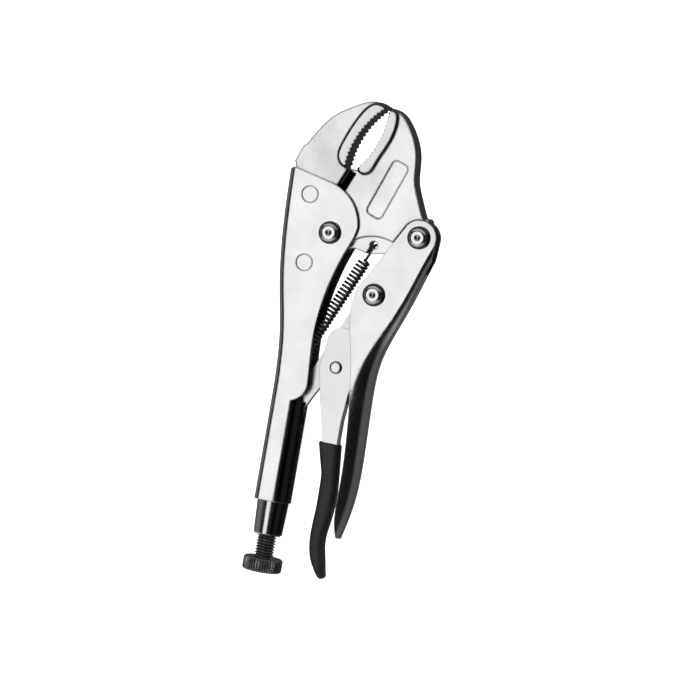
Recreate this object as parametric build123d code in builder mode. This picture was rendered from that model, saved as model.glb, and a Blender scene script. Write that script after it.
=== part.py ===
"""Locking pliers with curved jaws, closed and locked, lying flat.

X points from the fixed handle to the lower handle, Y along the adjusting screw towards the
jaws, and Z along the pivots. The origin is on the main pivot's axis, at the crown of its lower
head, which is the level that the tool rests on. All lengths are in millimetres.
"""

import os
from math import atan2, cos, degrees, radians, sin

from build123d import *

os.makedirs("parts", exist_ok=True)

# ---------------------------------------------------------------- driving dimensions
# Stock and widths, measured along Z
sheet = 2.4                  # fixed handle
lower_sheet = 2.2            # lower handle
lever_sheet = 1.5            # release lever
jaw_thickness = 12.0         # forged jaw bodies
ear_thickness = 8.2          # moving jaw where the lower handle straddles it
pad_rise = 1.5               # gripping pads above each jaw face
link_thickness = 4.4         # toggle link
grip_width = 15.0            # lower handle at its rounded grip

# Clearances
side_gap = 0.1               # between a moving plate and the channel it turns in
fit_gap = 0.05               # radial, round a rivet that something turns on
seat_gap = 0.02              # radial, round a rivet or bush that sits still
edge_gap = 0.4               # round moving outlines, in the plane of the handles
nose_gap = 0.4               # toggle nose to screw tip, at the lowest that the nose comes
nose_dip = 3.5               # how far the nose comes down while the jaws open

# Pivots and rivets
handle_pivot = (45.8, 5.4)   # moving jaw to lower handle
link_pivot = (27.8, -27.3)   # lower handle to toggle link
lever_pivot = (14.0, -67.5)  # toggle link to release lever
nose_centre = (-7.6, -99.0)  # rounded lower end of the toggle link
front_rivet = (-13.9, 17.5)
rear_rivet = (-10.8, -17.3)
pivot_radius = 3.5
head_radius = 5.85
head_height = 3.4
crown_radius = 3.15
dimple_radius = 1.7
dimple_depth = 0.5
jaw_rivet_radius = 4.25
lever_pin_radius = 2.0
lever_head_radius = 3.3
lever_head_height = 1.4
lever_head_edge = 1.2
jaw_rivet_edge = 0.3

# Jaws
ear_radius = 10.2
hub_radius = 7.6             # moving jaw round the handle pivot
lobe_radius = 8.8            # lower handle round the handle pivot
link_end_radius = 7.0        # toggle link round its three centres
link_boss_radius = 5.6
nose_radius = 3.5
link_hub_wall = 2.0          # hub of the toggle link, round its rivet
teeth = 17
tooth_depth = 0.9
pad_edge = 1.3
web_cut_centre = (24.8, -21.0)
web_cut_radius = 23.2
cutter_angle = 67.3          # of the wire cutter's face, from +X
cutter_top = 33.6            # height of the cutter's upper end
cutter_bevel = 5.0
panel_length = 31.0
panel_width = 9.0
panel_angle = 70.0
panel_corner = 2.6
panel_centre = (25.2, 26.6)
panel_depth = 0.5

# Fixed handle and its neck
bend = 3.2                   # outside bend of the handle's back
neck_top = -86.0
neck_length = 55.0
neck_back_room = 0.2         # between the bush and the neck's flat back
neck_offset = 0.7            # centre of the neck's rounded front, right of the screw
neck_slot_length = 14.5
hook_post = (-12.2, -80.0)   # hole that the spring's lower end hooks into
hook_plate = 2.0

# Adjusting screw
screw_x = -7.6
screw_radius = 5.0
screw_edge = 1.2
screw_shown = 11.8           # thread that shows between the bush and the knob
knob_radius = 10.2
knob_thickness = 7.2
knob_edge = 0.8
screw_in_knob = 5.0
bush_radius = 8.2            # at the neck, tapering to the radius at its lower end
bush_end_radius = 7.4
bush_edge = 0.8
bush_length = 18.0           # below the neck
bush_inside = 8.0            # inside the neck
ring_width = 1.2
ring_room = 0.3              # between the stop ring and the neck
ring_from_tip = 3.0
groove_depth = 1.0

# Spring
spring_hole = (22.6, -2.4)
spring_hole_radius = 1.9
spring_slot = 1.9
spring_radius = 3.6
spring_wire = 1.4
spring_top_tail = 9.5        # straight wire above and below the coils
spring_low_tail = 14.0
hook_bar = 5.0

# Lower handle
lower_edge_angle = 61.0      # of its straight upper edge, from +X
lower_edge_run = 38.5        # length of that edge
back_top = -7.5              # upper end of its back
shell_left = 8.0             # left of everything on it

# Release lever and sleeve
lever_top = (14.5, -54.2)
lever_top_radius = 7.4
lever_boss_radius = 8.7
heel_centre = (25.6, -52.5)
heel_radius = 5.0
sleeve_wall = 1.1
sleeve_edge = 1.0

# ---------------------------------------------------------------- worked-out places
channel_inside = jaw_thickness + 2 * side_gap
handle_width = channel_inside + 2 * sheet
lower_inside = ear_thickness + 2 * side_gap
lower_width = lower_inside + 2 * lower_sheet
lever_inside = link_thickness + 2 * side_gap
lever_width = lever_inside + 2 * lever_sheet
mid_z = handle_width / 2 + head_height
mid = Plane.XY.offset(mid_z)
tang_radius = ear_radius + edge_gap
neck_round = handle_width / 2
neck_left = screw_x - channel_inside / 2 - sheet - neck_back_room
neck_centre_x = screw_x + neck_offset
neck_end = neck_top - neck_length
neck_slot_end = neck_top - neck_slot_length
bush_end = neck_end - bush_length
knob_top = bush_end - screw_shown
knob_end = knob_top - knob_thickness
screw_tip = nose_centre[1] - nose_radius - nose_dip - nose_gap
screw_end = knob_top - screw_in_knob
spring_angle = degrees(atan2(spring_hole[1] - hook_post[1], spring_hole[0] - hook_post[0]))


def across(x, y):
    """Plane facing down the tool through a point, with local x along X and local y along Z."""
    return Plane(origin=(x, y, mid_z), x_dir=(1, 0, 0), z_dir=(0, -1, 0))


def finish(piece, name):
    """Label a finished piece and write its STEP file."""
    piece.part.label = name
    export_step(piece.part, f"parts/{name}.step")


def polar(centre, radius, angle):
    """Point at a radius and an angle in degrees round a centre."""
    return (centre[0] + radius * cos(radians(angle)), centre[1] + radius * sin(radians(angle)))


def headed_rivet(centre, grip):
    """Turned rivet with a domed head on both sides of a grip, and a dimple in the upper one."""
    axis = Axis((centre[0], centre[1], mid_z), (0, 0, 1))
    half = grip / 2
    top = half + head_height
    rim = 0.7
    shoulder = (head_radius * 0.86, head_height * 0.72)
    with BuildPart() as rivet:
        with BuildSketch(across(*centre)):
            with BuildLine():
                Polyline((0, -top), (crown_radius, -top))
                ThreePointArc((crown_radius, -top), (shoulder[0], -half - shoulder[1]),
                              (head_radius, -half - rim))
                Polyline((head_radius, -half - rim), (head_radius, -half), (pivot_radius, -half),
                         (pivot_radius, half), (head_radius, half), (head_radius, half + rim))
                ThreePointArc((head_radius, half + rim), (shoulder[0], half + shoulder[1]),
                              (crown_radius, top))
                Polyline((crown_radius, top), (dimple_radius, top), (0, top - dimple_depth), (0, -top))
            make_face()
        revolve(axis=axis)
    return rivet


def pin(centre, radius, length, edge):
    """Plain pin along Z, centred on the mid plane, with a small chamfer at both ends."""
    with BuildPart() as piece:
        with BuildSketch(mid):
            with Locations(centre):
                Circle(radius)
        extrude(amount=length / 2, both=True)
        chamfer(piece.edges().filter_by(GeomType.CIRCLE), edge)
    return piece


# ---------------------------------------------------------------- lower handle's outline
def lower_edge(gap):
    """Ends of the lower handle's straight left edge, from its lobe down, moved left by a gap."""
    start = polar(handle_pivot, lobe_radius + gap, lower_edge_angle + 90)
    return [start, polar(start, lower_edge_run, lower_edge_angle + 180)]


# Height, outer right edge, width, bend radius and reach of the bend along X, down its length
lower_stations = [
    (16.0, 60.3, lower_width, 3.0, 3.0),
    (-9.0, 53.2, lower_width, 3.4, 3.4),
    (-24.0, 48.4, lower_width, 3.7, 3.7),
    (-36.0, 44.2, lower_width, 4.0, 4.4),
    (-54.0, 37.6, lower_width + 1.0, 4.8, 7.0),
    (-66.0, 35.2, grip_width - 0.6, 5.6, 9.6),
    (-80.0, 34.9, grip_width, 6.4, 12.0),
    (-112.0, 35.8, grip_width, 6.6, 13.0),
    (-130.0, 35.3, grip_width - 0.2, 6.5, 13.0),
    (-144.0, 33.2, grip_width - 0.8, 6.2, 12.0),
    (-156.0, 30.4, grip_width - 1.6, 5.6, 11.0),
]


def lower_shell(inset):
    """Solid that fills the lower handle's rounded shell, moved inwards by an inset."""
    with BuildPart() as shell:
        for y, right, width, bend_radius, bend_reach in lower_stations:
            half = width / 2 - inset
            corner = bend_radius - inset
            reach = bend_reach - inset
            edge = right - inset
            with BuildSketch(across(0, y)):
                with BuildLine():
                    Line((edge, corner - half), (edge, half - corner))
                    EllipticalCenterArc((edge - reach, half - corner), reach, corner,
                                        start_angle=0, arc_size=90)
                    Polyline((edge - reach, half), (shell_left, half), (shell_left, -half),
                             (edge - reach, -half))
                    EllipticalCenterArc((edge - reach, corner - half), reach, corner,
                                        start_angle=270, arc_size=90)
                make_face()
        loft()
    return shell.part


# ---------------------------------------------------------------- fixed handle
def handle_back(inset):
    """Points down the handle's back, moved inwards by an inset."""
    back = [(-26.9, 28.4), (-26.2, 5.7), (-22.9, -28.0), (-18.2, -54.0), (-16.5, -76.0),
            (neck_left, neck_top - 2)]
    return [(x + inset, y) for x, y in back]


with BuildPart() as fixed_handle:
    with BuildSketch(mid):
        with BuildLine():
            top_left = (-24.6, 30.0)
            Polyline(top_left, (-5.0, 25.5))
            ThreePointArc((-5.0, 25.5), (8.6, 17.6), (13.9, 5.2))
            Spline((13.9, 5.2), (10.4, -6.4), (3.2, -30.0), (0.6, -52.0), (1.9, -78.0),
                   tangents=((-0.08, -1), (0.05, -1)))
            TangentArc((1.9, -78.0), (-6.2, neck_top - 2), tangent=(0.05, -1))
            Polyline((-6.2, neck_top - 2), handle_back(0)[-1])
            Spline(*reversed(handle_back(0)), tangents=((0, 1), (-0.02, 1)))
            Polyline(handle_back(0)[0], top_left)
        make_face()
    extrude(amount=handle_width / 2, both=True)
    back_edges = fixed_handle.edges().filter_by(
        lambda e: abs(e.center().Z - mid_z) > handle_width / 2 - 0.1
        and e.length > 100 and e.center().X < -10)
    fillet(back_edges, bend)
    # rolled neck: flat back with bent corners, closed into a half round on the front
    with BuildSketch(across(0, neck_top)):
        with BuildLine():
            left = neck_left
            right = neck_centre_x
            Polyline((right, neck_round), (left + bend, neck_round))
            ThreePointArc((left + bend, neck_round), (left + bend * (1 - cos(radians(45))),
                          neck_round - bend * (1 - cos(radians(45)))), (left, neck_round - bend))
            Polyline((left, neck_round - bend), (left, bend - neck_round))
            ThreePointArc((left, bend - neck_round), (left + bend * (1 - cos(radians(45))),
                          bend * (1 - cos(radians(45))) - neck_round), (left + bend, -neck_round))
            Polyline((left + bend, -neck_round), (right, -neck_round))
            ThreePointArc((right, -neck_round), (right + neck_round, 0), (right, neck_round))
        make_face()
    extrude(amount=neck_top - neck_end)
    # hollow of the channel, open on the right
    with BuildSketch(mid):
        with BuildLine():
            inner = handle_back(sheet)
            Spline(*inner, tangents=((0.02, -1), (0, -1)))
            Polyline(inner[-1], (2.5, inner[-1][1]), (40.0, neck_top + 4), (40.0, 40.0),
                     (inner[0][0], 40.0), inner[0])
        make_face()
    extrude(amount=channel_inside / 2, both=True, mode=Mode.SUBTRACT)
    # hollow of the neck, its threaded end and the slot that the toggle link swings in
    with BuildSketch(across(0, neck_top + 4)):
        with Locations((neck_centre_x, 0)):
            Circle(channel_inside / 2)
        with Locations(((neck_left + sheet + neck_centre_x) / 2, 0)):
            Rectangle(neck_centre_x - neck_left - sheet, channel_inside)
    extrude(amount=neck_top + 4 - neck_end + bush_inside, mode=Mode.SUBTRACT)
    with BuildSketch(mid):
        with BuildLine():
            Polyline((screw_x, neck_top + 6), (20.0, neck_top + 6), (20.0, neck_slot_end),
                     (screw_x, neck_slot_end), (screw_x, neck_top + 6))
        make_face()
    extrude(amount=link_thickness / 2 + 2 * edge_gap, both=True, mode=Mode.SUBTRACT)
    # holes for the two jaw rivets and the main pivot
    with BuildSketch(mid):
        with Locations(front_rivet, rear_rivet):
            Circle(jaw_rivet_radius + seat_gap)
        Circle(pivot_radius + seat_gap)
    extrude(amount=handle_width, both=True, mode=Mode.SUBTRACT)
    # hook plate on the back for the spring
    with BuildSketch(mid):
        with BuildLine():
            foot = neck_left + sheet / 2
            Polyline((foot, hook_post[1] + 7), (hook_post[0] + 1, hook_post[1] + 4),
                     (hook_post[0] + 3.2, hook_post[1]), (hook_post[0] + 1, hook_post[1] - 4),
                     (foot, hook_post[1] - 7), (foot, hook_post[1] + 7))
        make_face()
    extrude(amount=hook_plate / 2, both=True)
    with BuildSketch(mid):
        with Locations(hook_post):
            Circle(spring_wire / 2 + edge_gap)
        with BuildLine():
            Line(hook_post, polar(hook_post, 14.0, spring_angle))
        trace(line_width=spring_slot)
    extrude(amount=hook_plate, both=True, mode=Mode.SUBTRACT)
finish(fixed_handle, "fixed_handle")

# ---------------------------------------------------------------- jaws
fixed_bite = [(18.4, 67.6), (5.7, 51.0), (1.6, cutter_top)]
moving_bite = [(18.9, 67.0), (16.6, 50.6), (6.4, cutter_top)]
cutter_run = (cos(radians(cutter_angle)), sin(radians(cutter_angle)))


def cutter_point(gap, up):
    """Point on the cutter's face, a gap right of it, at a distance up from the ear's tangent."""
    foot = polar((0, 0), tang_radius - gap, cutter_angle + 90)
    return (foot[0] + up * cutter_run[0], foot[1] + up * cutter_run[1])


def cutter_length(gap):
    """Distance up the cutter's face from the ear's tangent to the cutter's top."""
    return (cutter_top - cutter_point(gap, 0)[1]) / cutter_run[1]


def mouth(points, beyond, side):
    """Open side of a toothed bite: the space beyond an arc, with a row of tooth gullets."""
    with BuildSketch(mid) as space:
        with BuildLine():
            bite = ThreePointArc(*points)
            Polyline(points[2], beyond[0], beyond[1], points[0])
        make_face()
        for tooth in range(teeth):
            share = (tooth + 0.5) / teeth
            spot, run = bite @ share, bite % share
            turn = degrees(atan2(run.Y, run.X))
            half = bite.length / teeth / 2
            with Locations(Location((spot.X, spot.Y, 0), (0, 0, turn))):
                Polygon((-half, -0.05 * side), (half, -0.05 * side), (0, tooth_depth * side), align=None)
    return space


with BuildPart() as fixed_jaw:
    tang_top = cutter_point(0, cutter_length(0))
    back = handle_back(sheet + seat_gap)
    with BuildSketch(mid):
        with BuildLine():
            Spline((18.6, 67.4), (12.0, 69.6), (-0.1, 65.1), (-13.1, 54.6), (-21.3, 42.0), (-25.4, 33.0),
                   tangents=((-1, 0.45), (-0.36, -1)))
            Polyline((-25.4, 33.0), (back[0][0] + 1.0, 28.0), (back[1][0] + 0.6, back[1][1]),
                     (-19.6, -25.5), (-6.4, -25.5), (-4.4, -16.0), polar((0, 0), tang_radius, 250))
            ThreePointArc(polar((0, 0), tang_radius, 250), polar((0, 0), tang_radius, 200),
                          cutter_point(0, 0))
            Polyline(cutter_point(0, 0), tang_top, (18.6, cutter_top), (18.6, 67.4))
        make_face()
    extrude(amount=jaw_thickness / 2, both=True)
    with BuildSketch(mid):
        with BuildLine():
            Spline((18.0, 67.2), (11.7, 68.9), (3.1, 59.4), (-2.2, 47.0), (-3.2, 37.8),
                   (-0.6, 34.6), (4.0, 34.2))
            Polyline((4.0, 34.2), (14.0, 40.0), (18.0, 67.2))
        make_face()
    extrude(amount=jaw_thickness / 2 + pad_rise, both=True)
    chamfer(fixed_jaw.edges().group_by(Axis.Z)[-1] + fixed_jaw.edges().group_by(Axis.Z)[0], pad_edge)
    add(mouth(fixed_bite, [(30.0, cutter_top), (30.0, 67.6)], -1).sketch)
    extrude(amount=handle_width, both=True, mode=Mode.SUBTRACT)
    with BuildSketch(mid):
        with Locations(front_rivet, rear_rivet):
            Circle(jaw_rivet_radius + seat_gap)
    extrude(amount=handle_width, both=True, mode=Mode.SUBTRACT)
finish(fixed_jaw, "fixed_jaw")

with BuildPart() as moving_jaw:
    with BuildSketch(mid):
        with BuildLine():
            knife = cutter_point(edge_gap, cutter_length(edge_gap))
            hub_top, hub_low = polar(handle_pivot, hub_radius, 40), polar(handle_pivot, hub_radius, 240)
            Polyline(cutter_point(edge_gap, 0), knife, (7.0, cutter_top), (19.6, 67.6))
            Spline((19.6, 67.6), (24.4, 66.2), (31.2, 59.2), (37.2, 45.0), (38.4, 33.6), (42.2, 23.4),
                   (47.2, 14.6), hub_top, tangents=((1, -0.1), (0.5, -1)))
            ThreePointArc(hub_top, polar(handle_pivot, hub_radius, -40), hub_low)
            Polyline(hub_low, (28.3, -6.2), (20.6, -7.6), (12.7, -5.7), polar((0, 0), ear_radius, 290))
            ThreePointArc(polar((0, 0), ear_radius, 290), polar((0, 0), ear_radius, 220),
                          cutter_point(edge_gap, 0))
        make_face()
    extrude(amount=jaw_thickness / 2, both=True)
    # raised gripping pads
    with BuildSketch(mid):
        with BuildLine():
            Spline((19.4, 67.0), (23.9, 65.7), (24.9, 60.5), (22.6, 50.0), (17.4, 38.2), (14.0, 32.6),
                   (11.4, 31.9), (8.0, 33.9))
            Polyline((8.0, 33.9), (8.0, 40.0), (14.0, 52.0), (19.4, 67.0))
        make_face()
    extrude(amount=jaw_thickness / 2 + pad_rise, both=True)
    chamfer(moving_jaw.edges().group_by(Axis.Z)[-1] + moving_jaw.edges().group_by(Axis.Z)[0], pad_edge)
    add(mouth(moving_bite, [(-20.0, cutter_top), (-20.0, 67.0)], 1).sketch)
    extrude(amount=handle_width, both=True, mode=Mode.SUBTRACT)
    # room on both faces for the lower handle, and the round cut over the spring's hole
    for side in (-1, 1):
        with BuildSketch(mid.offset(side * ear_thickness / 2)):
            with Locations(handle_pivot):
                Circle(lobe_radius + edge_gap)
            with Locations(web_cut_centre):
                Circle(web_cut_radius)
            with BuildLine():
                Polyline(*lower_edge(edge_gap), (70.0, lower_edge(edge_gap)[-1][1]), (70.0, -3.0),
                         (handle_pivot[0], handle_pivot[1] + 1), lower_edge(edge_gap)[0])
            make_face()
        extrude(amount=side * jaw_thickness, mode=Mode.SUBTRACT)
    # bevels that bring the wire cutter to an edge on the mid plane
    for side in (-1, 1):
        low, high = cutter_point(edge_gap, -6), cutter_point(edge_gap, cutter_length(edge_gap) + 0.1)
        corner = Plane(origin=(low[0], low[1], mid_z), x_dir=(cutter_run[1], -cutter_run[0], 0),
                       z_dir=(cutter_run[0], cutter_run[1], 0))
        with BuildSketch(corner):
            with BuildLine():
                rise = jaw_thickness / 2 + 0.1
                Polyline((0, 0.3 * side), (-1, 0.3 * side), (-1, rise * side), (cutter_bevel, rise * side),
                         (0, 0.3 * side))
            make_face()
        extrude(amount=6 + cutter_length(edge_gap) + 0.1, mode=Mode.SUBTRACT)
    # main pivot bore, handle pivot bore, and the keyhole for the spring's upper hook
    with BuildSketch(mid):
        Circle(pivot_radius + fit_gap)
        with Locations(handle_pivot):
            Circle(pivot_radius + fit_gap)
        with Locations(spring_hole):
            Circle(spring_hole_radius)
        with BuildLine():
            Line(spring_hole, polar(spring_hole, 9.0, spring_angle + 180))
        trace(line_width=spring_slot)
    extrude(amount=handle_width, both=True, mode=Mode.SUBTRACT)
    # shallow label panel, left plain
    with BuildSketch(mid.offset(jaw_thickness / 2)):
        with Locations(Location((panel_centre[0], panel_centre[1], 0), (0, 0, panel_angle))):
            RectangleRounded(panel_length, panel_width, panel_corner)
    extrude(amount=-panel_depth, mode=Mode.SUBTRACT)
finish(moving_jaw, "moving_jaw")

# ---------------------------------------------------------------- lower handle
outer_shell = lower_shell(0)
inner_shell = lower_shell(lower_sheet)
with BuildPart() as lower_handle:
    with BuildSketch(mid):
        with BuildLine():
            lobe_left = polar(handle_pivot, lobe_radius, lower_edge_angle + 90)
            lobe_right = polar(handle_pivot, lobe_radius, -8)
            Line(lobe_left, lower_edge(0)[1])
            Spline(lower_edge(0)[1], (17.0, -35.5), (20.4, -55.5), (24.3, -78.6), (26.4, -100.0),
                   (27.3, -128.0), (27.4, -144.0), (29.2, -153.6))
            Polyline((29.2, -153.6), (80.0, -153.6), (80.0, -9.0), (54.0, -7.4), lobe_right)
            ThreePointArc(lobe_right, polar(handle_pivot, lobe_radius, 60), lobe_left)
        make_face()
    extrude(amount=grip_width, both=True)
    add(outer_shell, mode=Mode.INTERSECT)
    add(inner_shell, mode=Mode.SUBTRACT)
    # only the two sides go on above the back's upper end
    with BuildSketch(mid):
        with BuildLine():
            Polyline((30.0, 20.0), (80.0, 20.0), (80.0, back_top), (30.0, back_top - 9), (30.0, 20.0))
        make_face()
    extrude(amount=lower_inside / 2, both=True, mode=Mode.SUBTRACT)
    with BuildSketch(mid):
        with Locations(handle_pivot, link_pivot):
            Circle(pivot_radius + seat_gap)
    extrude(amount=grip_width, both=True, mode=Mode.SUBTRACT)
    # flat seats for the rivet heads
    for side in (-1, 1):
        with BuildSketch(mid.offset(side * lower_width / 2)):
            with Locations(handle_pivot, link_pivot):
                Circle(head_radius + edge_gap)
        extrude(amount=side * head_height, mode=Mode.SUBTRACT)
finish(lower_handle, "lower_handle")

# ---------------------------------------------------------------- toggle link
with BuildPart() as toggle_link:
    with BuildSketch(mid):
        with Locations(link_pivot):
            Circle(link_end_radius)
        with Locations(lever_pivot):
            Circle(link_boss_radius)
        with Locations(nose_centre):
            Circle(nose_radius)
        with BuildLine():
            link_run = degrees(atan2(link_pivot[1] - nose_centre[1], link_pivot[0] - nose_centre[0]))
            low_left = polar(nose_centre, nose_radius, link_run + 90)
            low_right = polar(nose_centre, nose_radius, link_run - 90)
            top_left = polar(link_pivot, link_end_radius - 1.0, link_run + 92)
            top_right = polar(link_pivot, link_end_radius - 1.0, link_run - 92)
            Polyline(low_left, top_left, top_right, low_right, low_left)
        make_face()
    extrude(amount=link_thickness / 2, both=True)
    with BuildSketch(mid):
        with Locations(link_pivot):
            Circle(pivot_radius + fit_gap)
        with Locations(lever_pivot):
            Circle(lever_pin_radius + fit_gap)
    extrude(amount=grip_width, both=True, mode=Mode.SUBTRACT)
    # hub at the link pivot fills the lower handle
    with BuildSketch(mid):
        with Locations(link_pivot):
            Circle(pivot_radius + link_hub_wall)
            Circle(pivot_radius + fit_gap, mode=Mode.SUBTRACT)
    extrude(amount=ear_thickness / 2, both=True)
finish(toggle_link, "toggle_link")

# ---------------------------------------------------------------- release lever and its sleeve
with BuildPart() as release_lever:
    with BuildSketch(mid):
        with Locations(lever_top):
            Circle(lever_top_radius)
        with Locations(heel_centre):
            Circle(heel_radius)
        with Locations(lever_pivot):
            Circle(lever_boss_radius)
        with BuildLine():
            Polyline((lever_top[0], lever_top[1] + lever_top_radius),
                     (heel_centre[0], heel_centre[1] + heel_radius),
                     (heel_centre[0] + 4, heel_centre[1] - 3), (22.7, -79.4),
                     (21.5, -94.0), (21.4, -104.5), (22.4, -118.0), (23.6, -134.0))
            Spline((23.6, -134.0), (22.4, -147.0), (21.6, -156.0), (23.2, -167.0),
                   tangents=((0.05, -1), (0.25, -1)))
            Line((23.2, -167.0), (21.2, -168.4))
            Spline((21.2, -168.4), (17.2, -156.0), (17.6, -134.0), (13.6, -106.0),
                   tangents=((-0.5, 1), (-0.25, 1)))
            Polyline((13.6, -106.0), (8.6, -85.2), (5.4, -69.0), (6.4, -60.0), (7.2, -54.0), lever_top)
            Line(lever_top, (lever_top[0], lever_top[1] + lever_top_radius))
        make_face()
    extrude(amount=lever_width / 2, both=True)
    with BuildSketch(mid):
        with BuildLine():
            Polyline((0.0, -40.0), (40.0, -40.0), (40.0, -60.0), (21.4, -86.0),
                     (21.4 - lever_sheet, -94.0), (21.4 - lever_sheet, -104.5),
                     (21.8 - lever_sheet, -120.0), (14.0, -124.0), (0.0, -124.0), (0.0, -40.0))
        make_face()
    extrude(amount=lever_inside / 2, both=True, mode=Mode.SUBTRACT)
    with BuildSketch(mid):
        with Locations(lever_pivot):
            Circle(lever_pin_radius + fit_gap)
    extrude(amount=grip_width, both=True, mode=Mode.SUBTRACT)
finish(release_lever, "release_lever")

with BuildPart() as lever_sleeve:
    with BuildSketch(mid):
        with BuildLine():
            Line((11.2, -106.0), (22.6, -105.0))
            Spline((22.6, -105.0), (24.0, -119.0), (25.0, -133.0), (24.0, -147.0), (23.0, -156.0),
                   (24.6, -166.0), (25.8, -173.0), tangents=((0.1, -1), (0.1, -1)))
            ThreePointArc((25.8, -173.0), (25.2, -175.8), (22.4, -174.6))
            Spline((22.4, -174.6), (17.6, -167.0), (15.4, -157.0), (15.8, -140.0), (15.6, -124.0),
                   (11.2, -106.0), tangents=((-0.8, 1), (-0.25, 1)))
        make_face()
    extrude(amount=lever_width / 2 + sleeve_wall, both=True)
    sleeve_rims = lever_sleeve.edges().group_by(Axis.Z)
    chamfer(sleeve_rims[-1] + sleeve_rims[0], sleeve_edge)
    add(release_lever.part, mode=Mode.SUBTRACT)
finish(lever_sleeve, "lever_sleeve")

# ---------------------------------------------------------------- rivets
jaw_rivets = {"front_jaw_rivet": front_rivet, "rear_jaw_rivet": rear_rivet}
for name, centre in jaw_rivets.items():
    finish(pin(centre, jaw_rivet_radius, handle_width, jaw_rivet_edge), name)

finish(headed_rivet((0.0, 0.0), handle_width), "main_pivot_rivet")
finish(headed_rivet(handle_pivot, lower_width), "handle_pivot_rivet")
finish(headed_rivet(link_pivot, lower_width), "link_pivot_rivet")

with BuildPart() as lever_rivet:
    with BuildSketch(mid):
        with Locations(lever_pivot):
            Circle(lever_pin_radius)
    extrude(amount=lever_width / 2, both=True)
    for side in (-1, 1):
        with BuildSketch(mid.offset(side * lever_width / 2)):
            with Locations(lever_pivot):
                Circle(lever_head_radius)
        extrude(amount=side * lever_head_height)
    pin_rims = lever_rivet.edges().group_by(Axis.Z)
    fillet(pin_rims[-1] + pin_rims[0], lever_head_edge)
finish(lever_rivet, "release_lever_rivet")

# ---------------------------------------------------------------- adjusting screw, knob, bush and stop ring
def turned(profile):
    """Solid turned about the screw's axis from a closed profile of radius and height."""
    with BuildPart() as piece:
        with BuildSketch(Plane(origin=(screw_x, 0, mid_z), x_dir=(1, 0, 0), z_dir=(0, 0, 1))):
            with BuildLine():
                Polyline(*profile, profile[0])
            make_face()
        revolve(axis=Axis((screw_x, 0, mid_z), (0, 1, 0)))
    return piece


ring_top = screw_tip - ring_from_tip
ring_low = ring_top - side_gap - ring_width
groove = screw_radius - groove_depth
adjusting_screw = turned([
    (0, screw_tip), (screw_radius - screw_edge, screw_tip), (screw_radius, screw_tip - screw_edge),
    (screw_radius, ring_top), (groove, ring_top), (groove, ring_low - side_gap),
    (screw_radius, ring_low - side_gap), (screw_radius, screw_end), (0, screw_end)])
finish(adjusting_screw, "adjusting_screw")

seat = screw_radius + seat_gap
adjusting_knob = turned([
    (seat, knob_top), (knob_radius - knob_edge, knob_top), (knob_radius, knob_top - knob_edge),
    (knob_radius, knob_end + knob_edge), (knob_radius - knob_edge, knob_end), (0, knob_end),
    (0, screw_end - seat_gap), (seat, screw_end - seat_gap)])
finish(adjusting_knob, "adjusting_knob")

bore = screw_radius + fit_gap
bush_fit = channel_inside / 2 - seat_gap
threaded_bush = turned([
    (bore, neck_end + bush_inside), (bush_fit, neck_end + bush_inside), (bush_fit, neck_end),
    (bush_radius, neck_end), (bush_end_radius, bush_end + bush_edge),
    (bush_end_radius - bush_edge, bush_end), (bore, bush_end)])
finish(threaded_bush, "threaded_bush")

ring_radius = channel_inside / 2 - ring_room
screw_stop_ring = turned([
    (groove + fit_gap, ring_low), (ring_radius, ring_low),
    (ring_radius, ring_low + ring_width), (groove + fit_gap, ring_low + ring_width)])
finish(screw_stop_ring, "screw_stop_ring")

# ---------------------------------------------------------------- opening spring
coil_top = polar(spring_hole, spring_top_tail, spring_angle + 180)
coil_low = polar(hook_post, spring_low_tail, spring_angle)
with BuildPart() as opening_spring:
    along = Plane(origin=(coil_low[0], coil_low[1], mid_z), x_dir=(0, 0, 1),
                  z_dir=(cos(radians(spring_angle)), sin(radians(spring_angle)), 0))
    coil_length = ((coil_top[0] - coil_low[0]) ** 2 + (coil_top[1] - coil_low[1]) ** 2) ** 0.5
    with BuildSketch(along):
        Circle(spring_radius)
        Circle(spring_radius - spring_wire, mode=Mode.SUBTRACT)
    extrude(amount=coil_length)
    # closed end turns, the straight tails and the bars that lie in the two holes
    for spot, hole, way in ((0, hook_post, -1), (coil_length, spring_hole, 1)):
        with BuildSketch(along.offset(spot)):
            Circle(spring_radius - spring_wire / 2)
        extrude(amount=-way * spring_wire)
        tail = spring_low_tail if way < 0 else spring_top_tail
        with BuildSketch(along.offset(spot)):
            Circle(spring_wire / 2)
        extrude(amount=way * tail)
        with BuildSketch(mid):
            with Locations(hole):
                Circle(spring_wire / 2)
        extrude(amount=hook_bar / 2, both=True)
finish(opening_spring, "opening_spring")
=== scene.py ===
"""Locking pliers, dressed for a studio picture.

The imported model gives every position. This script smooths and paints its metal nodes, and makes
new pieces where a plain solid is too simple: the threaded screw, the knurled knob, the dipped
sleeve on the release lever, and the coiled opening spring. All lengths are in metres.
"""

import logging
from dataclasses import dataclass
from enum import Enum
from math import cos, floor, pi, radians, sin, sqrt
from typing import Sequence

import bpy
from mathutils import Matrix, Vector

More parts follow.
